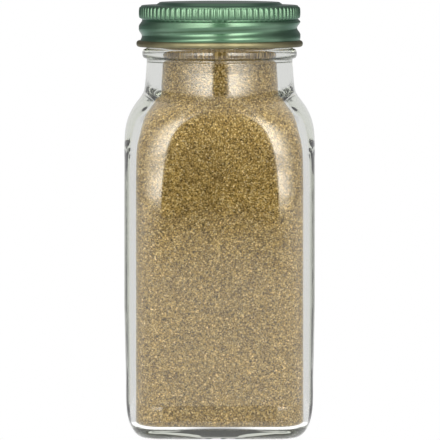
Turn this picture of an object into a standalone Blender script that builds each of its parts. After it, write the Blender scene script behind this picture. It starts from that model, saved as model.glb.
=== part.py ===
"""Square glass spice jar with a round screw neck, filled with ground sage, and its steel screw lid.

The jar stands on the XY plane with its axis on +Z and its flat panels facing X and Y.
Sizes below are millimetres; MM turns them into Blender's metres.
"""

import math

import bmesh
import bpy

MM = 0.001
FULL_TURN = 360.0

# Driving dimensions of the glass body.
BODY_HALF = 24.4  # half of the square's width
BODY_FLAT = 14.3  # half of the flat panel's width; the rest is the rounded corner
WALL = 2.95
GAP = 0.3  # clearance kept between pieces that touch in the real thing

# Base: a heel that curves in, a flat ring to stand on and a push-up in the middle.
HEEL_HALF = 24.1  # the sides draw in a little towards the heel
DRAFT_TOP = 34.0
HEEL_IN = 5.9
HEEL_HEIGHT = 12.0
HEEL_POWER = 2.6
PUSH_UP_RADIUS = 12.4
PUSH_UP = 1.85
FLOOR_EDGE = 2.9
FLOOR_CENTRE = 5.4
FLOOR_FILLET = 2.2

# Shoulder: the side rolls in on one arc while the flat panel closes in an arch.
SHOULDER_RADIUS = 14.5
SHOULDER_START = 76.7
PANEL_ARCH_START = 68.5
PANEL_ARCH_END = 84.9
ARCH_POWER = 0.6
INNER_SHOULDER_START = 74.5
BORE_FILLET = 8.5

# Neck and screw finish.
NECK_FOOT = 19.2
NECK_TOP = 18.68
NECK_FOOT_Z = 89.3
CREASE = ((19.74, 87.6), (19.43, 88.3))  # radius and height of the rings that soften the crease
BEAD_RADIUS = 19.85
BEAD_LOW = 96.6
BEAD_HIGH = 99.05
BORE = 14.55
THREAD_ROOT = 18.7
THREAD_CREST = 19.95
RIM_Z = 108.6
LIP = 0.8

# One right-handed thread, six turns to the inch, on the jar and rolled into the lid.
PITCH = 25.4 / 6
LID_HELIX_Z = 102.25  # height of the lid's groove on the -X side
JAR_THREAD_ABOVE = 1.5  # the glass thread lies this far above the lid's groove
JAR_HELIX = (90.0, 432.0, 45.0)  # first angle, last angle and taper, in degrees
LID_HELIX = (150.0, 585.0, 35.0)
JAR_THREAD_WIDTHS = (0.9, 2.5)  # crest and foot
LID_GROOVE_WIDTHS = (0.6, 2.8)  # bottom and mouth
LID_GROOVE_DEPTH = 0.85

# Steel lid.
SHEET = 0.25
LID_TOP_Z = 110.2
PANEL_Z = 111.0
PANEL_RADIUS = 15.6
SKIRT = 20.75
KNURL_VALLEY = 20.25
KNURL_CREST = 20.6
KNURL_COUNT = 78
KNURL_LOW = 106.8
KNURL_HIGH = 109.8
CURL_CENTRE = (20.76, 100.36)
CURL_HALF = (0.62, 0.81)
SKIRT_LOW = 101.4

# Liner and fill.
LINER_RADIUS = 18.9
LINER_THICK = 0.7
FILL_TOP = 103.2
FILL_UNEVEN = 0.35

# Points round each ring. Knurl rings carry two for each rib, three times the lid's plain rings.
JAR_POINTS = 48
FILL_POINTS = 40
LINER_POINTS = 48
LID_POINTS = 52
FLAT_WEIGHT = 0.4  # panels get this share of the points that an arc of their length would get


def section(half, flat, count):
    """Points of a rounded square, anticlockwise from +X; with flat 0 it is a circle."""
    corner = half - flat
    flat_share = flat * FLAT_WEIGHT
    arc_share = corner * math.pi / 2
    per_side = count // 4
    points = []
    for i in range(count):
        side, step = divmod(i, per_side)
        along = (2 * flat_share + arc_share) * step / per_side
        if along < flat_share:
            x, y = half, along / FLAT_WEIGHT
        elif along <= flat_share + arc_share:
            angle = (along - flat_share) / corner
            x = flat + corner * math.cos(angle)
            y = flat + corner * math.sin(angle)
        else:
            x, y = flat - (along - flat_share - arc_share) / FLAT_WEIGHT, half
        for _ in range(side):
            x, y = -y, x
        points.append((x, y))
    return points


def square_ring(z, half, flat, count=JAR_POINTS):
    return [(x, y, z) for x, y in section(half, flat, count)]


def round_ring(z, radius, count):
    return polar_ring(z, lambda _: radius, count)


def polar_ring(z, radius_at, count):
    """A ring whose radius follows a function of the angle in degrees."""
    ring = []
    for i in range(count):
        degrees = FULL_TURN * i / count
        radius = radius_at(degrees)
        angle = math.radians(degrees)
        ring.append((radius * math.cos(angle), radius * math.sin(angle), z))
    return ring


def spaced(low, high, steps):
    """Evenly spaced values from low to high, both included."""
    return [low + (high - low) * i / steps for i in range(steps + 1)]


def helix_height(degrees, z, helix_z, helix, widths):
    """How full the thread is at this place, from 0 beside it to 1 on its crest."""
    first, last, taper = helix
    crest, foot = (width / 2 for width in widths)
    best = 0.0
    for turn in range(-1, 3):
        angle = degrees + FULL_TURN * turn
        fade = min(1.0, (angle - first) / taper, (last - angle) / taper)
        if fade <= 0:
            continue
        off = abs(z - helix_z - PITCH * (angle - FULL_TURN / 2) / FULL_TURN)
        best = max(best, fade * min(1.0, max(0.0, (foot - off) / (foot - crest))))
    return best


def arch_flat(z, flat):
    """Half of the panel's flat width, which closes to nothing at the top of its arch."""
    if z <= PANEL_ARCH_START:
        return flat
    share = min(1.0, (z - PANEL_ARCH_START) / (PANEL_ARCH_END - PANEL_ARCH_START))
    return flat * (1 - share * share) ** ARCH_POWER


def base_rings():
    """Underside of the jar, from near its centre out to the ring that it stands on."""
    rings = []
    for share in (0.35, 0.65, 0.85, 0.96, 1.0):
        rise = PUSH_UP * math.sqrt(1 - share * share)
        rings.append(square_ring(rise, PUSH_UP_RADIUS * share, 0.0))
    return rings


def heel_rings():
    rings = []
    for share in (0.0, 0.06, 0.16, 0.3, 0.5, 0.75, 1.0):
        reach = (1 - (1 - share) ** HEEL_POWER) ** (1 / HEEL_POWER)
        half = HEEL_HALF - HEEL_IN * (1 - reach)
        rings.append(square_ring(HEEL_HEIGHT * share, half, BODY_FLAT))
    return rings


def shoulder_rings():
    rings = []
    for z in (DRAFT_TOP, PANEL_ARCH_START, 71.0, 73.5, 75.3):
        rings.append(square_ring(z, BODY_HALF, arch_flat(z, BODY_FLAT)))
    for z in (76.7, 78.7, 80.5, 82.2, 83.7, 85.0, 86.1, 87.0):
        rise = z - SHOULDER_START
        half = BODY_HALF - SHOULDER_RADIUS + math.sqrt(SHOULDER_RADIUS**2 - rise**2)
        rings.append(square_ring(z, half, arch_flat(z, BODY_FLAT)))
    return rings


def bead_rings():
    """Neck cone and the round bead that the finish ends in."""
    neck = CREASE + ((NECK_FOOT, NECK_FOOT_Z), (NECK_TOP, BEAD_LOW - 0.2))
    rings = [square_ring(z, radius, 0.0) for radius, z in neck]
    middle = (BEAD_LOW + BEAD_HIGH) / 2
    half_height = (BEAD_HIGH - BEAD_LOW) / 2
    for degrees in (-80, -50, -20, 20, 50, 80):
        angle = math.radians(degrees)
        radius = BEAD_RADIUS - 1.1 * (1 - math.cos(angle) ** 0.6)
        rings.append(square_ring(middle + half_height * math.sin(angle), radius, 0.0))
    return rings


def finish_rings():
    """Threaded stretch of the neck and its rounded lip."""

    def radius_at(degrees, z):
        height = helix_height(
            degrees, z, LID_HELIX_Z + JAR_THREAD_ABOVE, JAR_HELIX, JAR_THREAD_WIDTHS
        )
        return THREAD_ROOT + (THREAD_CREST - THREAD_ROOT) * height

    rings = []
    for z in spaced(BEAD_HIGH + 0.25, RIM_Z - LIP, 20):
        rings.append(polar_ring(z, lambda degrees, z=z: radius_at(degrees, z), JAR_POINTS))
    for degrees in (45, 90):
        angle = math.radians(degrees)
        radius = THREAD_ROOT - LIP * (1 - math.cos(angle))
        rings.append(square_ring(RIM_Z - LIP * (1 - math.sin(angle)), radius, 0.0))
    for degrees in (90, 0):
        angle = math.radians(degrees)
        radius = BORE + LIP * (1 - math.cos(angle))
        rings.append(square_ring(RIM_Z - LIP * (1 - math.sin(angle)), radius, 0.0))
    return rings


def cavity_rings(inset, count, top):
    """Inside of the glass from the bore down to the floor, moved in from the glass by inset."""
    half_body = BODY_HALF - WALL - inset
    flat_body = BODY_FLAT - 0.35
    arc_foot_z = INNER_SHOULDER_START
    meet = math.sin(math.pi / 4)
    meet_z = arc_foot_z + SHOULDER_RADIUS * meet
    meet_half = half_body - SHOULDER_RADIUS * (1 - meet)
    bore_centre_z = meet_z + BORE_FILLET * meet
    bore_centre = meet_half + BORE_FILLET * meet
    rings = [square_ring(top, BORE - inset, 0.0, count)]
    for degrees in (0, 20, 45):
        angle = math.radians(degrees)
        z = bore_centre_z - BORE_FILLET * math.sin(angle)
        half = bore_centre - BORE_FILLET * math.cos(angle)
        rings.append(square_ring(z, half, arch_flat(z, flat_body), count))
    for degrees in (36, 26, 15, 0):
        angle = math.radians(degrees)
        z = arc_foot_z + SHOULDER_RADIUS * math.sin(angle)
        half = half_body - SHOULDER_RADIUS * (1 - math.cos(angle))
        rings.append(square_ring(z, half, arch_flat(z, flat_body), count))
    for z in (71.5, PANEL_ARCH_START):
        rings.append(square_ring(z, half_body, arch_flat(z, flat_body), count))
    floor = FLOOR_EDGE + inset
    for degrees in (0, 30, 60, 90):
        angle = math.radians(degrees)
        z = floor + FLOOR_FILLET * (1 - math.sin(angle))
        half = half_body - FLOOR_FILLET * (1 - math.cos(angle))
        rings.append(square_ring(z, half, flat_body, count))
    floor_half = half_body - FLOOR_FILLET
    for share in (0.8, 0.5, 0.22):
        z = floor + (FLOOR_CENTRE - FLOOR_EDGE) * math.cos(share * math.pi / 2)
        rings.append(square_ring(z, floor_half * share, flat_body * share * share, count))
    return rings, FLOOR_CENTRE + inset


def bridge(bm, low, high):
    """Joins two rings of vertices, one of which may have a whole multiple of the other's points."""
    few, many = (low, high) if len(low) <= len(high) else (high, low)
    ratio = len(many) // len(few)
    for i, vertex in enumerate(few):
        following = few[(i + 1) % len(few)]
        fine = [many[(ratio * i + step) % len(many)] for step in range(ratio + 1)]
        if ratio == 1:
            bm.faces.new((vertex, following, fine[1], fine[0]))
            continue
        middle = (ratio + 1) // 2
        for step in range(ratio):
            if step == middle:
                bm.faces.new((vertex, following, fine[step]))
            apex = vertex if step < middle else following
            bm.faces.new((apex, fine[step + 1], fine[step]))


def solid(name, rings, first_pole_z, last_pole_z, finish):
    """One closed mesh object: rings joined in order, with a fan to a point on the axis at each end."""
    bm = bmesh.new()
    loops = []
    for ring in rings:
        loops.append([bm.verts.new((x * MM, y * MM, z * MM)) for x, y, z in ring])
    for low, high in zip(loops, loops[1:]):
        bridge(bm, low, high)
    for loop, pole_z in ((loops[0], first_pole_z), (loops[-1], last_pole_z)):
        pole = bm.verts.new((0.0, 0.0, pole_z * MM))
        for i, vertex in enumerate(loop):
            bm.faces.new((vertex, loop[(i + 1) % len(loop)], pole))
    bmesh.ops.recalc_face_normals(bm, faces=bm.faces[:])
    mesh = bpy.data.meshes.new(name)
    bm.to_mesh(mesh)
    bm.free()
    mesh.shade_smooth()
    mesh.set_sharp_from_angle(angle=math.radians(40))
    mesh.materials.append(finish)
    obj = bpy.data.objects.new(name, mesh)
    bpy.context.scene.collection.objects.link(obj)
    return obj


def material(name, colour, roughness, metallic=0.0, transmission=0.0):
    finish = bpy.data.materials.new(name)
    finish.use_nodes = True
    shader = finish.node_tree.nodes["Principled BSDF"]
    shader.inputs["Base Color"].default_value = (*colour, 1.0)
    shader.inputs["Roughness"].default_value = roughness
    shader.inputs["Metallic"].default_value = metallic
    shader.inputs["Transmission Weight"].default_value = transmission
    return finish


def make_jar():
    """The glass in one closed surface: underside, outside, finish, bore, inside and floor."""
    inside, floor_z = cavity_rings(0.0, JAR_POINTS, INNER_SHOULDER_START + 20.0)
    rings = base_rings() + heel_rings() + shoulder_rings() + bead_rings() + finish_rings() + inside
    glass = material("clear_glass", (0.93, 0.96, 0.94), 0.03, transmission=1.0)
    return solid("jar", rings, PUSH_UP, floor_z, glass)


def make_ground_sage():
    """The fill: the inside of the glass less the clearance, with an uneven top in the neck."""
    inside, floor_z = cavity_rings(GAP, FILL_POINTS, FILL_TOP - 0.8)
    top = []
    for share in (0.45, 0.92):
        uneven = FILL_UNEVEN * (1 - share)
        level = round_ring(FILL_TOP, (BORE - GAP) * share, FILL_POINTS)
        top.append([(x, y, z + uneven * math.sin(3 * math.atan2(y, x))) for x, y, z in level])
    finish = material("ground_sage", (0.36, 0.27, 0.13), 0.95)
    return solid("ground_sage", top + inside, FILL_TOP + FILL_UNEVEN, floor_z, finish)


def make_liner():
    """Loose disc that seals the rim under the lid's top."""
    low = RIM_Z + GAP
    high = low + LINER_THICK
    bevel = 0.15
    rings = [
        round_ring(low, LINER_RADIUS - bevel, LINER_POINTS),
        round_ring(low + bevel, LINER_RADIUS, LINER_POINTS),
        round_ring(high - bevel, LINER_RADIUS, LINER_POINTS),
        round_ring(high, LINER_RADIUS - bevel, LINER_POINTS),
    ]
    return solid("lid_liner", rings, low, high, material("liner_foam", (0.85, 0.85, 0.82), 0.7))


def skirt_radius(degrees, z):
    """Outside of the lid's skirt, with the thread rolled into it as a groove."""
    blend = min(1.0, (KNURL_LOW - z) / 0.7)
    plain = KNURL_VALLEY + (SKIRT - KNURL_VALLEY) * blend
    groove = helix_height(degrees, z, LID_HELIX_Z, LID_HELIX, LID_GROOVE_WIDTHS)
    return plain - (LID_GROOVE_DEPTH - (SKIRT - plain)) * groove


def skirt_rings(inset):
    """Rings of the skirt from the knurl down to the curl, moved in by inset for the sheet's inside."""
    rings = []
    for z in spaced(KNURL_LOW - 0.3, SKIRT_LOW, 13):
        rings.append(polar_ring(z, lambda degrees, z=z: skirt_radius(degrees, z) - inset, LID_POINTS))
    return rings


def knurl_ring(z, valley, crest):
    step = FULL_TURN / (2 * KNURL_COUNT)
    return polar_ring(
        z, lambda degrees: crest if round(degrees / step) % 2 == 0 else valley, 2 * KNURL_COUNT
    )


def lid_top_rings(drop, corner):
    """The raised panel and the ring round it, from the middle out; drop lowers them for the inside."""
    rings = []
    for radius, z in (
        (PANEL_RADIUS - 0.5, PANEL_Z),
        (PANEL_RADIUS, PANEL_Z - 0.12),
        (PANEL_RADIUS + 0.9, LID_TOP_Z),
        (corner, LID_TOP_Z),
    ):
        rings.append(round_ring(z - drop, radius, LID_POINTS))
    return rings


def make_lid():
    """Sheet steel lid: panelled top, knurled band, skirt with the rolled thread and a curled edge."""
    outside = lid_top_rings(0.0, 19.5)
    outside.append(round_ring(LID_TOP_Z - 0.18, 20.0, LID_POINTS))
    outside.append(knurl_ring(KNURL_HIGH, KNURL_VALLEY, KNURL_VALLEY))
    outside.append(knurl_ring(KNURL_HIGH - 0.35, KNURL_VALLEY, KNURL_CREST))
    outside.append(knurl_ring(KNURL_LOW + 0.35, KNURL_VALLEY, KNURL_CREST))
    outside.append(knurl_ring(KNURL_LOW, KNURL_VALLEY, KNURL_VALLEY))
    outside += skirt_rings(0.0)
    for degrees in (115, 70, 30, -10, -50, -90, -130, -180):
        angle = math.radians(degrees)
        radius = CURL_CENTRE[0] + CURL_HALF[0] * math.cos(angle)
        z = CURL_CENTRE[1] + CURL_HALF[1] * math.sin(angle)
        outside.append(round_ring(z, radius, LID_POINTS))
    inside = skirt_rings(SHEET)[::-1]
    bore = KNURL_VALLEY - SHEET
    inside.append(round_ring(KNURL_LOW, bore, LID_POINTS))
    inside.append(round_ring(LID_TOP_Z - 0.9, bore, LID_POINTS))
    inside += lid_top_rings(SHEET, bore - 0.6)[::-1]
    enamel = material("green_enamel", (0.05, 0.21, 0.11), 0.3, metallic=0.7)
    return solid("lid", outside + inside, PANEL_Z, PANEL_Z - SHEET, enamel)


def main():
    for obj in list(bpy.data.objects):
        bpy.data.objects.remove(obj)
    jar = make_jar()
    fill = make_ground_sage()
    liner = make_liner()
    lid = make_lid()
    fill.parent = jar
    lid.parent = liner


main()
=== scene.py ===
"""Looks of the square spice jar: moulded glass, ground sage seen through it, and the knurled steel lid.

Lengths are millimetres until a mesh is made; MM turns them into metres.
The main sizes repeat the solid model's or lie within 0.2 mm of them, so each fine piece lies
where its solid does.
"""

import math

import bpy
import numpy as np
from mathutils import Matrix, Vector, noise


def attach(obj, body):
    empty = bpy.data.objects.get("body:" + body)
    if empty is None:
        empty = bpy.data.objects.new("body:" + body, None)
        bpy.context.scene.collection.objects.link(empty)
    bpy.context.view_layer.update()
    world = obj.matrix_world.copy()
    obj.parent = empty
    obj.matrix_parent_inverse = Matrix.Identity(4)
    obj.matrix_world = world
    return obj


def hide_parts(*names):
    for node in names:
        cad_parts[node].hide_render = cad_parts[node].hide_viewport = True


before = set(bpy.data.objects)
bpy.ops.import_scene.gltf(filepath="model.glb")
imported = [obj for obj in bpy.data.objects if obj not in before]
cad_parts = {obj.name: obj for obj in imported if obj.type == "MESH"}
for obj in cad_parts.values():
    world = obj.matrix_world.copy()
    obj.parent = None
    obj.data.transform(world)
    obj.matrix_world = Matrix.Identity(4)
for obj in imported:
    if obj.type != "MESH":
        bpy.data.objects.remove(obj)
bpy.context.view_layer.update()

MM = 0.001
FULL_TURN = 360.0
SEED = 11

# Photograph: its size in pixels, its scale at the jar's axis and where the camera stood.
PHOTO_PIXELS = 440
PIXELS_PER_MM = 3.892
CAMERA_DISTANCE = 2.0
CAMERA_HEIGHT = 0.158
CAMERA_SIDE = 0.0001
AIM_HEIGHT = 0.0550
SENSOR = 36.0

# Glass body.
BODY_HALF = 24.4
BODY_FLAT = 14.3
WALL = 2.95
HEEL_HALF = 23.9
DRAFT_TOP = 34.0
HEEL_IN = 5.9
HEEL_HEIGHT = 12.0
HEEL_POWER = 2.6
PUSH_UP_RADIUS = 12.4
PUSH_UP = 1.85
FLOOR_EDGE = 2.9
FLOOR_CENTRE = 5.4
FLOOR_FILLET = 2.2
SHOULDER_RADIUS = 14.5
SHOULDER_START = 76.7
SHOULDER_TOP = 87.0
ARCH_START = 68.5
ARCH_END = 84.9
ARCH_POWER = 0.6
INNER_SHOULDER_START = 74.5
BORE_FILLET = 8.5

# Neck and screw finish.
CREASE_KNEE = (19.5, 87.7)  # radius and height that the crease under the neck bends towards
NECK_FOOT = 19.2
NECK_FOOT_Z = 89.3
NECK_TOP = 18.68
BEAD_RADIUS = 19.85
BEAD_LOW = 96.6
BEAD_HIGH = 99.05
BORE = 14.55
THREAD_ROOT = 18.7
THREAD_CREST = 19.95
RIM_Z = 108.6
LIP = 0.8
PITCH = 25.4 / 6
LID_HELIX_Z = 102.25
JAR_THREAD_ABOVE = 1.5
JAR_HELIX = (90.0, 432.0, 45.0)
LID_HELIX = (150.0, 585.0, 35.0)
JAR_THREAD_HALF_WIDTH = 1.25
LID_GROOVE_HALF_WIDTH = 1.75
LID_GROOVE_DEPTH = 0.85

# Lid.
SHEET = 0.25
LID_TOP_Z = 110.2
PANEL_Z = 111.0
PANEL_RADIUS = 15.6
PANEL_SLOPE = 0.9
SKIRT = 20.75
KNURL_VALLEY = 20.2
KNURL_CREST = 20.74
KNURL_COUNT = 78
KNURL_LOW = 106.8
KNURL_HIGH = 109.85
CURL_CENTRE = (20.76, 100.36)
CURL_HALF = (0.61, 0.8)
SKIRT_LOW = 101.05

# Fill.
AIR_GAP = 0.08  # air between the powder and the glass
FILL_TOP = 103.2

# Points round each ring.
JAR_POINTS = 288
FILL_POINTS = 320
LID_POINTS = 4 * KNURL_COUNT
KNURL_POINTS = 12 * KNURL_COUNT
CURL_POINTS = 240
FLAT_WEIGHT = 0.7


def section(half, flat, count):
    """Points of a rounded square, anticlockwise from +X, as an array of x and y; flat 0 is a circle."""
    corner = half - flat
    flat_share = flat * FLAT_WEIGHT
    arc_share = corner * math.pi / 2
    per_side = count // 4
    along = (2 * flat_share + arc_share) * np.arange(per_side) / per_side
    angle = np.clip((along - flat_share) / corner, 0, math.pi / 2)
    before = np.minimum(along, flat_share) / FLAT_WEIGHT
    after = np.maximum(along - flat_share - arc_share, 0) / FLAT_WEIGHT
    x = flat + corner * np.cos(angle) - after
    y = before + corner * np.sin(angle)
    side = np.stack([x, y], axis=1)
    sides = [side]
    for _ in range(3):
        side = np.stack([-side[:, 1], side[:, 0]], axis=1)
        sides.append(side)
    return np.concatenate(sides)


def square_ring(z, half, flat, count):
    flat_ring = section(half, flat, count)
    return np.column_stack([flat_ring, np.full(count, z)])


def polar_ring(z, radius, count):
    """A ring of one radius, or of an array of radii, one for each point."""
    angle = np.arange(count) * 2 * math.pi / count
    return np.column_stack([radius * np.cos(angle), radius * np.sin(angle), np.full(count, z)])


def degrees_round(count):
    return np.arange(count) * FULL_TURN / count


def helix_height(degrees, z, helix_z, helix, half_width):
    """How full the thread is at these angles, from 0 beside it to 1 on its rounded crest."""
    first, last, taper = helix
    best = np.zeros_like(degrees)
    for turn in range(-1, 3):
        angle = degrees + FULL_TURN * turn
        full = np.clip(np.minimum(angle - first, last - angle) / taper, 0, 1)
        full = full * full * (3 - 2 * full)
        off = np.abs(z - helix_z - PITCH * (angle - FULL_TURN / 2) / FULL_TURN) / half_width
        best = np.maximum(best, full * (0.5 + 0.5 * np.cos(math.pi * np.clip(off, 0, 1))))
    return best


def arch_flat(z, flat):
    """Half of the panel's flat width, which closes to nothing at the top of its arch."""
    if z <= ARCH_START:
        return flat
    share = min(1.0, (z - ARCH_START) / (ARCH_END - ARCH_START))
    return flat * (1 - share * share) ** ARCH_POWER


def smooth(low, high, value):
    """Smooth step from 0 at low to 1 at high."""
    share = np.clip((value - low) / (high - low), 0, 1)
    return share * share * (3 - 2 * share)


def bridge(faces, low, high):
    """Adds faces between two rings of vertex numbers; one may have a multiple of the other's points."""
    few, many = (low, high) if len(low) <= len(high) else (high, low)
    ratio = len(many) // len(few)
    flip = few is high
    for i, vertex in enumerate(few):
        following = few[(i + 1) % len(few)]
        fine = [many[(ratio * i + step) % len(many)] for step in range(ratio + 1)]
        if ratio == 1:
            new = [(vertex, following, fine[1], fine[0])]
        else:
            middle = (ratio + 1) // 2
            new = [(vertex if step < middle else following, fine[step + 1], fine[step])
                   for step in range(ratio)]
            new.append((vertex, following, fine[middle]))
        faces.extend(face[::-1] if flip else face for face in new)


def loft(name, rings, first_pole=None, last_pole=None, closed=False):
    """A mesh object through rings of points; poles on the axis end it, or closed joins its ends."""
    points = np.concatenate(rings)
    numbers = []
    start = 0
    for ring in rings:
        numbers.append(list(range(start, start + len(ring))))
        start += len(ring)
    faces = []
    pairs = list(zip(numbers, numbers[1:]))
    if closed:
        pairs.append((numbers[-1], numbers[0]))
    for low, high in pairs:
        bridge(faces, low, high)
    for pole, ring, flip in ((first_pole, numbers[0], True), (last_pole, numbers[-1], False)):
        if pole is None:
            continue
        points = np.vstack([points, [0.0, 0.0, pole]])
        tip = len(points) - 1
        for i, vertex in enumerate(ring):
            face = (vertex, ring[(i + 1) % len(ring)], tip)
            faces.append(face[::-1] if flip else face)
    mesh = bpy.data.meshes.new(name)
    mesh.from_pydata((points * MM).tolist(), [], faces)
    mesh.update()
    mesh.shade_smooth()
    obj = bpy.data.objects.new(name, mesh)
    bpy.context.scene.collection.objects.link(obj)
    if volume(mesh) < 0:
        mesh.flip_normals()
    return obj


def volume(mesh):
    """Signed volume of a closed mesh, positive where its faces point out."""
    mesh.calc_loop_triangles()
    corners = np.empty(len(mesh.loop_triangles) * 3, dtype=np.int32)
    mesh.loop_triangles.foreach_get("vertices", corners)
    points = np.empty(len(mesh.vertices) * 3)
    mesh.vertices.foreach_get("co", points)
    triangles = points.reshape(-1, 3)[corners.reshape(-1, 3)]
    return np.einsum("ij,ij->i", triangles[:, 0], np.cross(triangles[:, 1], triangles[:, 2])).sum() / 6


# Glass.

SOFT_SHOULDER = (66.0, 96.0, 70)  # heights between which the corners melt into the neck, and passes
SOFT_CREASE = (85.0, 91.0, 4)
STIPPLE_RADIUS = 18
STIPPLE_PITCH = 3.4
STIPPLE_DEPTH = 0.32
WAVE_LENGTH = 17.0
WAVE_HEIGHT = 0.015


def stipple(ring):
    """Short radial bars on the ring that the jar stands on; between them the glass is a little higher."""
    angle = np.arctan2(ring[:, 1], ring[:, 0])
    reach = np.hypot(ring[:, 0], ring[:, 1])
    bars = round(2 * math.pi * STIPPLE_RADIUS / STIPPLE_PITCH)
    tooth = np.maximum(0, np.cos(angle * bars)) ** 0.6
    share = smooth(13.0, 14.0, reach) * (1 - smooth(18.6, 20.4, reach))
    ring = ring.copy()
    ring[:, 2] += STIPPLE_DEPTH * (1 - tooth) * share
    return ring


def base_rings():
    rings = []
    for share in (0.12, 0.25, 0.38, 0.5, 0.6, 0.7, 0.78, 0.85, 0.9, 0.94, 0.97, 0.99, 1.0):
        rise = PUSH_UP * math.sqrt(1 - share * share)
        rings.append(square_ring(rise, PUSH_UP_RADIUS * share, 0.0, JAR_POINTS))
    inner = rings[-1]
    outer = square_ring(0.0, HEEL_HALF - HEEL_IN, BODY_FLAT, JAR_POINTS)
    for share in (0.12, 0.25, 0.4, 0.55, 0.7, 0.85):
        rings.append(inner + (outer - inner) * share)
    return [stipple(ring) for ring in rings]


def heel_rings():
    rings = []
    for share in np.linspace(0, 1, 26) ** 2.2:
        reach = (1 - (1 - share) ** HEEL_POWER) ** (1 / HEEL_POWER)
        half = HEEL_HALF - HEEL_IN * (1 - reach)
        rings.append(stipple(square_ring(HEEL_HEIGHT * share, half, BODY_FLAT, JAR_POINTS)))
    return rings


def body_rings():
    rings = []
    for z in np.linspace(HEEL_HEIGHT, DRAFT_TOP, 7)[1:]:
        half = HEEL_HALF + (BODY_HALF - HEEL_HALF) * (z - HEEL_HEIGHT) / (DRAFT_TOP - HEEL_HEIGHT)
        rings.append(square_ring(z, half, BODY_FLAT, JAR_POINTS))
    for z in np.linspace(DRAFT_TOP, ARCH_START, 9)[1:]:
        rings.append(square_ring(z, BODY_HALF, BODY_FLAT, JAR_POINTS))
    for z in np.linspace(ARCH_START, SHOULDER_START, 12)[1:]:
        rings.append(square_ring(z, BODY_HALF, arch_flat(z, BODY_FLAT), JAR_POINTS))
    return rings


def shoulder_half(z):
    rise = z - SHOULDER_START
    return BODY_HALF - SHOULDER_RADIUS + math.sqrt(SHOULDER_RADIUS**2 - rise**2)


def shoulder_rings():
    rings = []
    for z in np.linspace(SHOULDER_START, SHOULDER_TOP, 42)[1:]:
        rings.append(square_ring(z, shoulder_half(z), arch_flat(z, BODY_FLAT), JAR_POINTS))
    return rings


def neck_rings():
    """The soft crease between shoulder and neck, and the neck's cone."""
    rings = []
    start = np.array([shoulder_half(SHOULDER_TOP), SHOULDER_TOP])
    end = np.array([NECK_FOOT, NECK_FOOT_Z])
    knee = np.array(CREASE_KNEE)
    for share in np.linspace(0, 1, 10)[1:]:
        radius, z = (1 - share) ** 2 * start + 2 * share * (1 - share) * knee + share**2 * end
        flat = arch_flat(min(z, ARCH_END), BODY_FLAT) * (1 - share)
        rings.append(square_ring(z, radius, flat, JAR_POINTS))
    top = BEAD_LOW - 0.2
    for share in np.linspace(0, 1, 9)[1:]:
        radius = NECK_FOOT + (NECK_TOP - NECK_FOOT) * share ** 0.8
        rings.append(square_ring(NECK_FOOT_Z + (top - NECK_FOOT_Z) * share, radius, 0.0, JAR_POINTS))
    return rings


def bead_rings():
    rings = []
    middle = (BEAD_LOW + BEAD_HIGH) / 2
    half_height = (BEAD_HIGH - BEAD_LOW) / 2
    for degrees in np.linspace(-86, 86, 22):
        angle = math.radians(degrees)
        radius = BEAD_RADIUS - 1.1 * (1 - math.cos(angle) ** 0.6)
        rings.append(square_ring(middle + half_height * math.sin(angle), radius, 0.0, JAR_POINTS))
    return rings


def finish_rings():
    rings = []
    degrees = degrees_round(JAR_POINTS)
    for z in np.linspace(BEAD_HIGH + 0.25, RIM_Z - LIP, 56):
        height = helix_height(
            degrees, z, LID_HELIX_Z + JAR_THREAD_ABOVE, JAR_HELIX, JAR_THREAD_HALF_WIDTH
        )
        rings.append(polar_ring(z, THREAD_ROOT + (THREAD_CREST - THREAD_ROOT) * height, JAR_POINTS))
    for outside in (True, False):
        degrees = np.linspace(10, 90, 8)
        for angle in np.radians(degrees if outside else degrees[::-1]):
            inset = LIP * (1 - math.cos(angle))
            radius = THREAD_ROOT - inset if outside else BORE + inset
            rings.append(square_ring(RIM_Z - LIP * (1 - math.sin(angle)), radius, 0.0, JAR_POINTS))
    return rings


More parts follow.
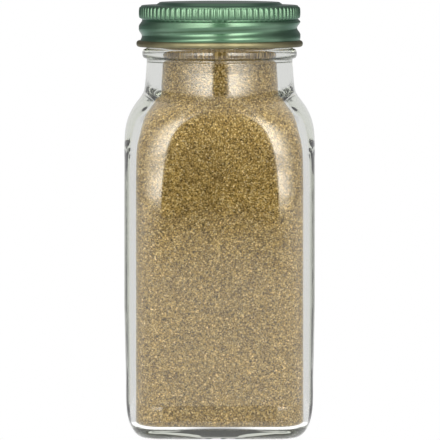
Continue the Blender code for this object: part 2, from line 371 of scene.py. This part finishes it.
def cavity_rings(inset, count, top):
    """Inside of the glass from the bore down to the floor, moved in from the glass by inset."""
    half_body = BODY_HALF - WALL - inset
    flat_body = BODY_FLAT - 0.35
    meet = math.sin(math.pi / 4)
    meet_z = INNER_SHOULDER_START + SHOULDER_RADIUS * meet
    meet_half = half_body - SHOULDER_RADIUS * (1 - meet)
    bore_centre_z = meet_z + BORE_FILLET * meet
    bore_centre = meet_half + BORE_FILLET * meet
    rings = []
    foot = bore_centre - BORE_FILLET
    for z in np.linspace(top, bore_centre_z, 12)[:-1]:
        share = (top - z) / (top - bore_centre_z)
        radius = BORE - inset + (foot - BORE + inset) * share
        rings.append(square_ring(z, radius, 0.0, count))
    for degrees in np.linspace(0, 45, 16):
        angle = math.radians(degrees)
        z = bore_centre_z - BORE_FILLET * math.sin(angle)
        half = bore_centre - BORE_FILLET * math.cos(angle)
        rings.append(square_ring(z, half, arch_flat(z, flat_body), count))
    for degrees in np.linspace(45, 0, 24)[1:]:
        angle = math.radians(degrees)
        z = INNER_SHOULDER_START + SHOULDER_RADIUS * math.sin(angle)
        half = half_body - SHOULDER_RADIUS * (1 - math.cos(angle))
        rings.append(square_ring(z, half, arch_flat(z, flat_body), count))
    for z in np.linspace(INNER_SHOULDER_START, ARCH_START, 12)[1:]:
        rings.append(square_ring(z, half_body, arch_flat(z, flat_body), count))
    floor = FLOOR_EDGE + inset
    wall_foot = floor + FLOOR_FILLET
    for z in [*np.linspace(ARCH_START, wall_foot + 2.0, 12)[1:], wall_foot + 0.7, wall_foot + 0.2]:
        rings.append(square_ring(z, half_body, flat_body, count))
    for degrees in np.linspace(0, 90, 18):
        angle = math.radians(degrees)
        z = floor + FLOOR_FILLET * (1 - math.sin(angle))
        half = half_body - FLOOR_FILLET * (1 - math.cos(angle))
        rings.append(square_ring(z, half, flat_body, count))
    floor_half = half_body - FLOOR_FILLET
    for share in (0.9, 0.8, 0.68, 0.55, 0.42, 0.3, 0.18, 0.08):
        z = floor + (FLOOR_CENTRE - FLOOR_EDGE) * math.cos(share * math.pi / 2)
        rings.append(square_ring(z, floor_half * share, flat_body * share * share, count))
    return soften(rings, *SOFT_SHOULDER), FLOOR_CENTRE + inset


def wave(rings, seed):
    """Gives moulded glass its slow unevenness, always inwards, so that no side grows."""
    shift = Vector((seed * 3.1, seed * 1.7, seed * 2.3))
    waved = []
    for ring in rings:
        new = ring.copy()
        for i, (x, y, z) in enumerate(ring):
            value = noise.noise(Vector((x, y, z)) / WAVE_LENGTH + shift)
            scale = 1 - WAVE_HEIGHT * (0.5 + 0.5 * value) / BODY_HALF
            new[i, 0] *= scale
            new[i, 1] *= scale
        waved.append(new)
    return waved


def soften(rings, low, high, passes):
    """Evens out the profile's turns between two heights, so that no reflection breaks there."""
    rings = [ring.copy() for ring in rings]
    inner = [i for i in range(1, len(rings) - 1) if low < rings[i][0, 2] < high]
    for _ in range(passes):
        for i in inner:
            rings[i] = (rings[i - 1] + 2 * rings[i] + rings[i + 1]) / 4
    return rings


def soften_corners(rings, passes):
    """Lets flat sides run into their round corners gently, as in moulded glass."""
    softened = []
    for ring in rings:
        for _ in range(passes):
            ring = (np.roll(ring, 1, axis=0) + 2 * ring + np.roll(ring, -1, axis=0)) / 4
        softened.append(ring)
    return softened


def make_glass():
    body = soften_corners(body_rings() + shoulder_rings(), 26)
    above_heel = soften(soften(body, *SOFT_SHOULDER) + neck_rings(), *SOFT_CREASE)
    outside = base_rings() + heel_rings() + wave(above_heel, 1) + bead_rings() + finish_rings()
    inside, floor_z = cavity_rings(0.0, JAR_POINTS, RIM_Z - LIP)
    return loft("jar_glass", outside + inside, PUSH_UP, floor_z)


# Powder.

GRAIN_DEPTH = 0.14


def powder_top():
    """The powder's surface in the neck: loose, a little heaped and uneven."""
    rings = []
    for share in np.linspace(0.04, 0.97, 22):
        ring = polar_ring(FILL_TOP, (BORE - AIR_GAP) * share, FILL_POINTS)
        for point in ring:
            soft = noise.noise(Vector(point) / 6.0 + Vector((SEED, 0, 0)))
            fine = noise.noise(Vector(point) / 1.1)
            point[2] += 0.3 * soft * (1 - share**4) + 0.12 * fine * (1 - share**4) - 0.25
        rings.append(ring)
    return rings


def resample(rings, step):
    """Adds rings between far ones, so that no two lie more than step apart."""
    dense = [rings[0]]
    for low, high in zip(rings, rings[1:]):
        parts = max(1, math.ceil(np.linalg.norm(high - low, axis=1).max() / step))
        dense.extend(low + (high - low) * i / parts for i in range(1, parts + 1))
    return dense


def grain(rings):
    """Presses a fine random relief into the powder's side, inwards from the glass."""
    rough = []
    for ring in rings:
        new = ring.copy()
        for i, (x, y, z) in enumerate(ring):
            place = Vector((x, y, z))
            depth = 0.6 * abs(noise.noise(place / 0.55)) + 0.6 * max(0.0, noise.noise(place / 1.7))
            reach = math.hypot(x, y)
            if reach > 1.0:
                new[i, :2] *= 1 - GRAIN_DEPTH * depth / reach
        rough.append(new)
    return rough


def make_powder():
    inside, floor_z = cavity_rings(AIR_GAP, FILL_POINTS, FILL_TOP - 0.35)
    step = 0.62
    rings = powder_top() + grain(resample(inside, step))
    return loft("sage_powder", rings, FILL_TOP, floor_z)


# Lid.


def skirt_radius(degrees, z):
    """Outside of the lid's skirt, with the thread rolled into it as a soft groove."""
    plain = KNURL_VALLEY - 0.05 + (SKIRT - KNURL_VALLEY + 0.05) * smooth(KNURL_LOW, KNURL_LOW - 0.9, z)
    plain -= 0.16 * (1 - smooth(SKIRT_LOW, SKIRT_LOW + 0.9, z))
    groove = helix_height(degrees, z, LID_HELIX_Z, LID_HELIX, LID_GROOVE_HALF_WIDTH)
    return plain - (LID_GROOVE_DEPTH - (SKIRT - plain)) * groove


def skirt_rings(inset):
    degrees = degrees_round(LID_POINTS)
    return [polar_ring(z, skirt_radius(degrees, z) - inset, LID_POINTS)
            for z in np.linspace(KNURL_LOW - 0.12, SKIRT_LOW, 44)]


def knurl_rings():
    """The knurled band: convex ribs with round ends and narrow gaps between them."""
    rings = []
    across = (np.arange(KNURL_POINTS) % 12) / 12 * 2 - 1
    rib = np.sqrt(1 - across**2)
    for share in np.linspace(0, 1, 19):
        end = (1 - abs(2 * share - 1) ** 3) ** (1 / 3)
        z = KNURL_HIGH + (KNURL_LOW - KNURL_HIGH) * share
        rings.append(polar_ring(z, KNURL_VALLEY + (KNURL_CREST - KNURL_VALLEY) * rib * end, KNURL_POINTS))
    return rings


def top_profile():
    """Radius and height of the lid's top from its middle out to the knurl."""
    profile = [(radius, PANEL_Z) for radius in (3.0, 7.0, 11.0, 14.4)]
    profile += [(PANEL_RADIUS - 0.35 + 0.35 * math.sin(a), PANEL_Z - 0.35 * (1 - math.cos(a)))
                for a in np.radians((0, 20, 40))]
    foot = PANEL_RADIUS + PANEL_SLOPE
    profile += [(foot - 0.3, LID_TOP_Z + 0.2), (foot - 0.1, LID_TOP_Z + 0.06), (foot + 0.15, LID_TOP_Z)]
    profile += [(17.6, LID_TOP_Z), (18.8, LID_TOP_Z)]
    corner = 0.5
    centre = (KNURL_VALLEY + 0.06 - corner, LID_TOP_Z - corner)
    profile += [(centre[0] + corner * math.sin(a), centre[1] + corner * math.cos(a))
                for a in np.radians((0, 15, 30, 45, 60, 72))]
    return profile


def make_lid_shell():
    outside = [polar_ring(z, radius, LID_POINTS) for radius, z in top_profile()]
    outside += knurl_rings() + skirt_rings(0.0)
    inside = skirt_rings(SHEET)[::-1]
    bore = KNURL_VALLEY - SHEET
    inside.append(polar_ring(KNURL_LOW + 0.4, bore, LID_POINTS))
    inside += [polar_ring(z - SHEET, min(radius, bore - 0.02), LID_POINTS)
               for radius, z in top_profile()[:-1][::-1]]
    return loft("lid_shell", outside + inside, PANEL_Z, PANEL_Z - SHEET)


def make_lid_curl():
    """The skirt's edge rolled outwards into a wire, which shows the sheet's gold inner lacquer."""
    rings = []
    for degrees in np.arange(0, FULL_TURN, 12):
        angle = math.radians(degrees)
        radius = CURL_CENTRE[0] + CURL_HALF[0] * math.cos(angle)
        z = CURL_CENTRE[1] + CURL_HALF[1] * math.sin(angle)
        rings.append(polar_ring(z, radius, CURL_POINTS))
    return loft("lid_curl", rings, closed=True)


# Materials.


def new_material(name):
    material = bpy.data.materials.new(name)
    material.use_nodes = True
    return material, material.node_tree, material.node_tree.nodes["Principled BSDF"]


def add(tree, kind, **values):
    """A new node; values set its inputs by name, or its own settings where it has no such input."""
    node = tree.nodes.new(kind)
    for name, value in values.items():
        label = name.replace("_", " ")
        if label in node.inputs:
            node.inputs[label].default_value = value
        else:
            setattr(node, name, value)
    return node


def ramp(tree, factor, stops):
    node = tree.nodes.new("ShaderNodeValToRGB")
    elements = node.color_ramp.elements
    while len(elements) < len(stops):
        elements.new(0.5)
    for element, (position, colour) in zip(elements, stops):
        element.position = position
        element.color = (*colour, 1.0)
    tree.links.new(factor, node.inputs["Fac"])
    return node.outputs["Color"]


def mix(tree, blend, factor, a, b):
    """Mixes two colours, each given as a socket or a plain colour."""
    node = tree.nodes.new("ShaderNodeMix")
    node.data_type = "RGBA"
    node.blend_type = blend
    sockets = {"Factor": node.inputs[0], "A": node.inputs[6], "B": node.inputs[7]}
    for socket, value in ((sockets["Factor"], factor), (sockets["A"], a), (sockets["B"], b)):
        if isinstance(value, bpy.types.NodeSocket):
            tree.links.new(value, socket)
        elif isinstance(value, tuple):
            socket.default_value = (*value, 1.0)
        else:
            socket.default_value = value
    return node.outputs[2]


def place(tree):
    """Coordinates fixed to the piece, in metres."""
    return tree.nodes.new("ShaderNodeTexCoord").outputs["Object"]


def bump(tree, shader, height, strength, distance):
    node = add(tree, "ShaderNodeBump", Strength=strength, Distance=distance)
    tree.links.new(height, node.inputs["Height"])
    tree.links.new(node.outputs["Normal"], shader.inputs["Normal"])


def glass_material():
    material, tree, shader = new_material("clear_glass")
    shader.inputs["Base Color"].default_value = (0.99, 0.995, 0.99, 1.0)
    shader.inputs["Transmission Weight"].default_value = 1.0
    shader.inputs["IOR"].default_value = 1.52
    shader.inputs["Roughness"].default_value = 0.0
    absorb = add(tree, "ShaderNodeVolumeAbsorption", Color=(0.55, 0.61, 0.35, 1.0), Density=10.0)
    tree.links.new(absorb.outputs["Volume"], tree.nodes["Material Output"].inputs["Volume"])
    ripple = add(tree, "ShaderNodeTexNoise", Scale=120.0, Detail=2.0)
    tree.links.new(place(tree), ripple.inputs["Vector"])
    bump(tree, shader, ripple.outputs["Fac"], 0.05, 0.0004)
    return material


GRAIN_STOPS = (
    (0.0, (0.030, 0.015, 0.003)), (0.14, (0.10, 0.058, 0.012)), (0.4, (0.27, 0.175, 0.045)),
    (0.7, (0.39, 0.265, 0.075)), (0.9, (0.58, 0.43, 0.155)), (1.0, (0.85, 0.70, 0.36)))
LEAF_STOPS = (
    (0.0, (0.020, 0.016, 0.004)), (0.16, (0.075, 0.058, 0.014)), (0.45, (0.25, 0.185, 0.048)),
    (0.75, (0.37, 0.275, 0.085)), (0.92, (0.52, 0.43, 0.18)), (1.0, (0.80, 0.72, 0.42)))


def powder_material():
    """Ground leaf: pale, brown and dark flecks of a few tenths of a millimetre, with slow mottling."""
    material, tree, shader = new_material("ground_sage")
    where = place(tree)
    flecks = add(tree, "ShaderNodeTexVoronoi", Scale=3900.0, Randomness=1.0)
    flakes = add(tree, "ShaderNodeTexVoronoi", Scale=2500.0, Randomness=1.0)
    dust = add(tree, "ShaderNodeTexNoise", Scale=2600.0, Detail=2.0, Roughness=0.6)
    cloud = add(tree, "ShaderNodeTexNoise", Scale=160.0, Detail=3.0)
    for node in (flecks, flakes, dust, cloud):
        tree.links.new(where, node.inputs["Vector"])
    fleck_value = tree.nodes.new("ShaderNodeSeparateColor")
    tree.links.new(flecks.outputs["Color"], fleck_value.inputs["Color"])
    flake_value = tree.nodes.new("ShaderNodeSeparateColor")
    tree.links.new(flakes.outputs["Color"], flake_value.inputs["Color"])
    fine = ramp(tree, fleck_value.outputs["Red"], GRAIN_STOPS)
    coarse = ramp(tree, flake_value.outputs["Green"], LEAF_STOPS)
    colour = mix(tree, "MIX", 0.35, fine, coarse)
    soft = ramp(tree, dust.outputs["Fac"], ((0.32, (0.50, 0.48, 0.44)), (0.68, (1.56, 1.54, 1.50))))
    colour = mix(tree, "MULTIPLY", 1.0, colour, soft)
    slow = ramp(tree, cloud.outputs["Fac"], ((0.35, (0.93, 0.885, 0.90)), (0.65, (1.10, 1.045, 1.05))))
    colour = mix(tree, "MULTIPLY", 1.0, colour, slow)
    tree.links.new(colour, shader.inputs["Base Color"])
    shader.inputs["Roughness"].default_value = 0.6
    shader.inputs["Specular IOR Level"].default_value = 0.15
    bump(tree, shader, fleck_value.outputs["Green"], 0.6, 0.00012)
    return material


def lacquer_material():
    """Translucent green lacquer over bright tinplate: a satin metal with the sheet's faint grain."""
    material, tree, shader = new_material("green_lacquer")
    where = place(tree)
    cloud = add(tree, "ShaderNodeTexNoise", Scale=220.0, Detail=4.0)
    tree.links.new(where, cloud.inputs["Vector"])
    colour = ramp(tree, cloud.outputs["Fac"], (
        (0.35, (0.050, 0.126, 0.066)), (0.65, (0.058, 0.145, 0.077))))
    tree.links.new(colour, shader.inputs["Base Color"])
    rough = add(tree, "ShaderNodeMapRange")
    rough.inputs["To Min"].default_value = 0.26
    rough.inputs["To Max"].default_value = 0.34
    tree.links.new(cloud.outputs["Fac"], rough.inputs["Value"])
    tree.links.new(rough.outputs["Result"], shader.inputs["Roughness"])
    shader.inputs["Metallic"].default_value = 1.0
    shader.inputs["Specular Tint"].default_value = (0.45, 0.90, 0.72, 1.0)
    shader.inputs["Coat Weight"].default_value = 0.95
    shader.inputs["Coat IOR"].default_value = 1.6
    shader.inputs["Coat Roughness"].default_value = 0.18
    peel = add(tree, "ShaderNodeTexNoise", Scale=1800.0, Detail=2.0)
    tree.links.new(where, peel.inputs["Vector"])
    bump(tree, shader, peel.outputs["Fac"], 0.12, 0.00005)
    return material


def gold_material():
    material, tree, shader = new_material("gold_lacquer")
    where = place(tree)
    cloud = add(tree, "ShaderNodeTexNoise", Scale=300.0, Detail=4.0)
    tree.links.new(where, cloud.inputs["Vector"])
    colour = ramp(tree, cloud.outputs["Fac"], (
        (0.35, (0.15, 0.138, 0.078)), (0.65, (0.19, 0.176, 0.10))))
    tree.links.new(colour, shader.inputs["Base Color"])
    shader.inputs["Metallic"].default_value = 1.0
    shader.inputs["Roughness"].default_value = 0.42
    return material


def liner_material():
    """Foamed plastic disc, matt and faintly pitted, with painted shade darkening each pit towards its
    middle.
    """
    material, tree, shader = new_material("liner_foam")
    where = place(tree)
    pits_and_shade = add(tree, "ShaderNodeTexVoronoi", Scale=2200.0)
    tree.links.new(where, pits_and_shade.inputs["Vector"])
    # painted shade: the colour darkens towards each pit's middle, where the bump sets the foam lowest
    colour = ramp(tree, pits_and_shade.outputs["Distance"], ((0.0, (0.74, 0.74, 0.70)), (0.5, (0.86, 0.86, 0.83))))
    tree.links.new(colour, shader.inputs["Base Color"])
    shader.inputs["Roughness"].default_value = 0.75
    bump(tree, shader, pits_and_shade.outputs["Distance"], 0.3, 0.00008)
    return material


# Studio.

TABLE_RADIUS = 2.2
TABLE_FADE = (0.55, 1.35)  # metres towards the camera over which the table darkens
TABLE_SHADE = (0.0175, 0.0225)  # metres from the jar's axis over which the shade under it ends
TABLE_LIGHT = 1.3
UNDER_LIGHT = 0.08
SHADOW_LENGTH = 8.0  # how far the shade reaches behind the jar, against its reach elsewhere
TABLE_BEHIND = 0.4  # share of its light that the table has behind the jar
SOFT_LIGHT = (1.0, 3.1)  # even light on what scatters it, such as the powder: from below and from above
THROUGH_LIGHT = 0.72  # backdrop as seen through the glass

# Radiance round the jar by direction: degrees to the right of the camera, as seen from the jar.
WALLS = ((-180, 0.18), (-140, 0.18), (-112, 0.26), (-85, 0.7), (-55, 1.2), (-12, 0.9), (-7, 0.05),
         (7, 0.05), (12, 0.9), (55, 1.2), (85, 0.7), (112, 0.26), (140, 0.18), (180, 0.18))
WALLS_MOST = 1.2
OVERHEAD = 0.65
WALL_TOP = (40, 66)  # degrees up, over which the walls give way to the dark ceiling
LEFT_LAMP = (-72, -17, -14, -9, 5.6)  # degrees where it rises, is full, starts to fall and ends; radiance
RIGHT_LAMP = (12, 17, 21, 66, 6.4)
LAMP_TOP = (38, 78)
LAMP_IN_TABLE = (0.95, 2.1)  # metres towards the camera over which the table mirrors the softboxes
LAMP_COLOUR = (1.0, 0.955, 0.87)
LAMP_HIDDEN = (0.5, 2.5, 9, 14)  # degrees up, between which the glass's inner wall mirrors no softbox


def maths(tree, operation, first, second=0.0):
    node = tree.nodes.new("ShaderNodeMath")
    node.operation = operation
    for socket, value in zip(node.inputs, (first, second)):
        if isinstance(value, bpy.types.NodeSocket):
            tree.links.new(value, socket)
        else:
            socket.default_value = value
    return node.outputs["Value"]


def fade(tree, value, start, end):
    """Smooth step from 0 at start to 1 at end; end may be the lower."""
    node = tree.nodes.new("ShaderNodeMapRange")
    node.interpolation_type = "SMOOTHSTEP"
    node.inputs["From Min"].default_value = start
    node.inputs["From Max"].default_value = end
    tree.links.new(value, node.inputs["Value"])
    return node.outputs["Result"]


def between(tree, factor, low, high):
    """Value from low to high as the factor goes from 0 to 1."""
    node = tree.nodes.new("ShaderNodeMix")
    for socket, value in zip((node.inputs[0], node.inputs[2], node.inputs[3]), (factor, low, high)):
        if isinstance(value, bpy.types.NodeSocket):
            tree.links.new(value, socket)
        else:
            socket.default_value = value
    return node.outputs[0]


def staged(tree, light, behind, soft):
    """What a ray meets: white for the camera, the backdrop through glass, soft light once scattered."""
    path = tree.nodes.new("ShaderNodeLightPath")
    through = maths(tree, "MULTIPLY", path.outputs["Is Singular Ray"], behind)
    light = between(tree, through, light, THROUGH_LIGHT)
    scattered = maths(tree, "GREATER_THAN", path.outputs["Diffuse Depth"], 0.5)
    light = between(tree, scattered, light, soft)
    return between(tree, path.outputs["Is Camera Ray"], light, 1.0)


def azimuth_of(tree, split):
    """Degrees to the right of the camera."""
    towards_camera = maths(tree, "MULTIPLY", split.outputs["Y"], -1.0)
    azimuth = maths(tree, "ARCTAN2", split.outputs["X"], towards_camera)
    return maths(tree, "MULTIPLY", azimuth, 180 / math.pi)


def lamp(tree, azimuth, edges):
    rise, full, fall, end, radiance = edges
    across = maths(tree, "MULTIPLY", fade(tree, azimuth, rise, full), fade(tree, azimuth, end, fall))
    return maths(tree, "MULTIPLY", across, radiance)


def both_lamps(tree, azimuth):
    return maths(tree, "ADD", lamp(tree, azimuth, LEFT_LAMP), lamp(tree, azimuth, RIGHT_LAMP))


def unscattered(tree, light):
    """Light that only sharp or glossy reflections and clear glass show."""
    path = tree.nodes.new("ShaderNodeLightPath")
    direct = maths(tree, "LESS_THAN", path.outputs["Diffuse Depth"], 0.5)
    direct = maths(tree, "SUBTRACT", direct, path.outputs["Is Camera Ray"])
    return maths(tree, "MULTIPLY", light, direct)


def length(tree, x, y):
    """How far a point of the table lies from its middle."""
    squares = [maths(tree, "MULTIPLY", value, value) for value in (x, y)]
    return maths(tree, "SQRT", maths(tree, "ADD", *squares))


def make_table():
    """White table, darker towards the camera and shaded under the jar."""
    points = [(TABLE_RADIUS * math.cos(a), TABLE_RADIUS * math.sin(a), -0.0001)
              for a in np.arange(64) * 2 * math.pi / 64]
    mesh = bpy.data.meshes.new("table")
    mesh.from_pydata(points, [], [list(range(64))])
    table = bpy.data.objects.new("table", mesh)
    bpy.context.scene.collection.objects.link(table)
    material, tree, _ = new_material("table_white")
    where = place(tree)
    split = tree.nodes.new("ShaderNodeSeparateXYZ")
    tree.links.new(where, split.inputs["Vector"])
    distance = length(tree, split.outputs["X"], split.outputs["Y"])
    shadow = maths(tree, "DIVIDE", maths(tree, "MAXIMUM", split.outputs["Y"], 0.0), SHADOW_LENGTH)
    shadow = maths(tree, "ADD", shadow, maths(tree, "MINIMUM", split.outputs["Y"], 0.0))
    clear = fade(tree, length(tree, split.outputs["X"], shadow), *TABLE_SHADE)
    near, far = TABLE_FADE
    light = maths(tree, "MULTIPLY", fade(tree, split.outputs["Y"], -far, -near), TABLE_LIGHT)
    back = between(tree, fade(tree, split.outputs["Y"], 0.0, 0.1), 1.0, TABLE_BEHIND)
    light = between(tree, clear, UNDER_LIGHT, maths(tree, "MULTIPLY", light, back))
    behind = maths(tree, "MULTIPLY", fade(tree, split.outputs["Y"], 0.0, 0.03), clear)
    light = staged(tree, light, behind, between(tree, clear, UNDER_LIGHT, SOFT_LIGHT[0]))
    mirrored = fade(tree, distance, *LAMP_IN_TABLE)
    lamps = maths(tree, "MULTIPLY", both_lamps(tree, azimuth_of(tree, split)), mirrored)
    add_lights(tree, "ShaderNodeEmission", light, unscattered(tree, lamps), "Material Output")
    mesh.materials.append(material)


def add_lights(tree, kind, light, lamps, output):
    """White light plus the softboxes' warmer light, as the tree's output."""
    both = tree.nodes.new("ShaderNodeAddShader")
    sources = ((1, 1, 1), light), (LAMP_COLOUR, lamps)
    for socket, (colour, strength) in zip(both.inputs, sources):
        source = add(tree, kind, Color=(*colour, 1.0))
        tree.links.new(strength, source.inputs["Strength"])
        tree.links.new(source.outputs[0], socket)
    tree.links.new(both.outputs["Shader"], tree.nodes[output].inputs["Surface"])


def make_world():
    """A studio by direction: white walls, two tall softboxes beside the camera, dark behind it."""
    world = bpy.data.worlds.new("studio")
    world.use_nodes = True
    tree = world.node_tree
    direction = tree.nodes.new("ShaderNodeTexCoord")
    split = tree.nodes.new("ShaderNodeSeparateXYZ")
    tree.links.new(direction.outputs["Generated"], split.inputs["Vector"])
    azimuth = azimuth_of(tree, split)
    height = maths(tree, "MULTIPLY", maths(tree, "ARCSINE", split.outputs["Z"]), 180 / math.pi)
    turn = maths(tree, "ADD", maths(tree, "DIVIDE", azimuth, FULL_TURN), 0.5)
    stops = [((degrees + 180) / FULL_TURN, (light / WALLS_MOST,) * 3) for degrees, light in WALLS]
    walls = maths(tree, "MULTIPLY", ramp(tree, turn, stops), WALLS_MOST)
    walls = between(tree, fade(tree, height, *WALL_TOP), walls, OVERHEAD)
    behind = fade(tree, split.outputs["Y"], 0.0, 0.3)
    soft = between(tree, fade(tree, split.outputs["Z"], -0.2, 0.6), *SOFT_LIGHT)
    lamps = maths(tree, "MULTIPLY", both_lamps(tree, azimuth), fade(tree, height, *reversed(LAMP_TOP)))
    low, start, stop, high = LAMP_HIDDEN
    hidden = maths(tree, "MULTIPLY", fade(tree, height, low, start), fade(tree, height, high, stop))
    path = tree.nodes.new("ShaderNodeLightPath")
    inner = maths(tree, "GREATER_THAN", path.outputs["Transmission Depth"], 0.5)
    shown = maths(tree, "SUBTRACT", 1.0, maths(tree, "MULTIPLY", hidden, inner))
    lamps = maths(tree, "MULTIPLY", lamps, shown)
    light = staged(tree, walls, behind, soft)
    add_lights(tree, "ShaderNodeBackground", light, unscattered(tree, lamps), "World Output")
    bpy.context.scene.world = world


def make_camera():
    camera = bpy.data.cameras.new("camera")
    obj = bpy.data.objects.new("camera", camera)
    bpy.context.scene.collection.objects.link(obj)
    obj.location = (CAMERA_SIDE, -CAMERA_DISTANCE, CAMERA_HEIGHT)
    line = Vector((CAMERA_SIDE, 0, AIM_HEIGHT)) - obj.location
    obj.rotation_euler = line.to_track_quat("-Z", "Y").to_euler()
    camera.sensor_width = SENSOR
    camera.lens = SENSOR * line.length / (PHOTO_PIXELS / PIXELS_PER_MM * MM)
    camera.clip_end = 20.0
    bpy.context.scene.camera = obj


def dress(piece, material, body, node=None):
    """Gives a piece its material and its body, and hides the solid that it stands for."""
    piece.data.materials.clear()
    piece.data.materials.append(material)
    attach(piece, body)
    if node:
        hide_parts(node)


def main():
    make_camera()
    dress(make_glass(), glass_material(), "jar", "jar")
    dress(make_powder(), powder_material(), "jar", "ground_sage")
    dress(make_lid_shell(), lacquer_material(), "lid", "lid")
    dress(make_lid_curl(), gold_material(), "lid", "lid")
    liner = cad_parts["lid_liner"]
    liner.data.materials.clear()
    liner.data.materials.append(liner_material())
    make_table()
    make_world()
    bpy.context.scene.view_settings.view_transform = "Standard"
    cycles = bpy.context.scene.cycles
    cycles.max_bounces = 24
    cycles.glossy_bounces = 16
    cycles.transmission_bounces = 24


main()
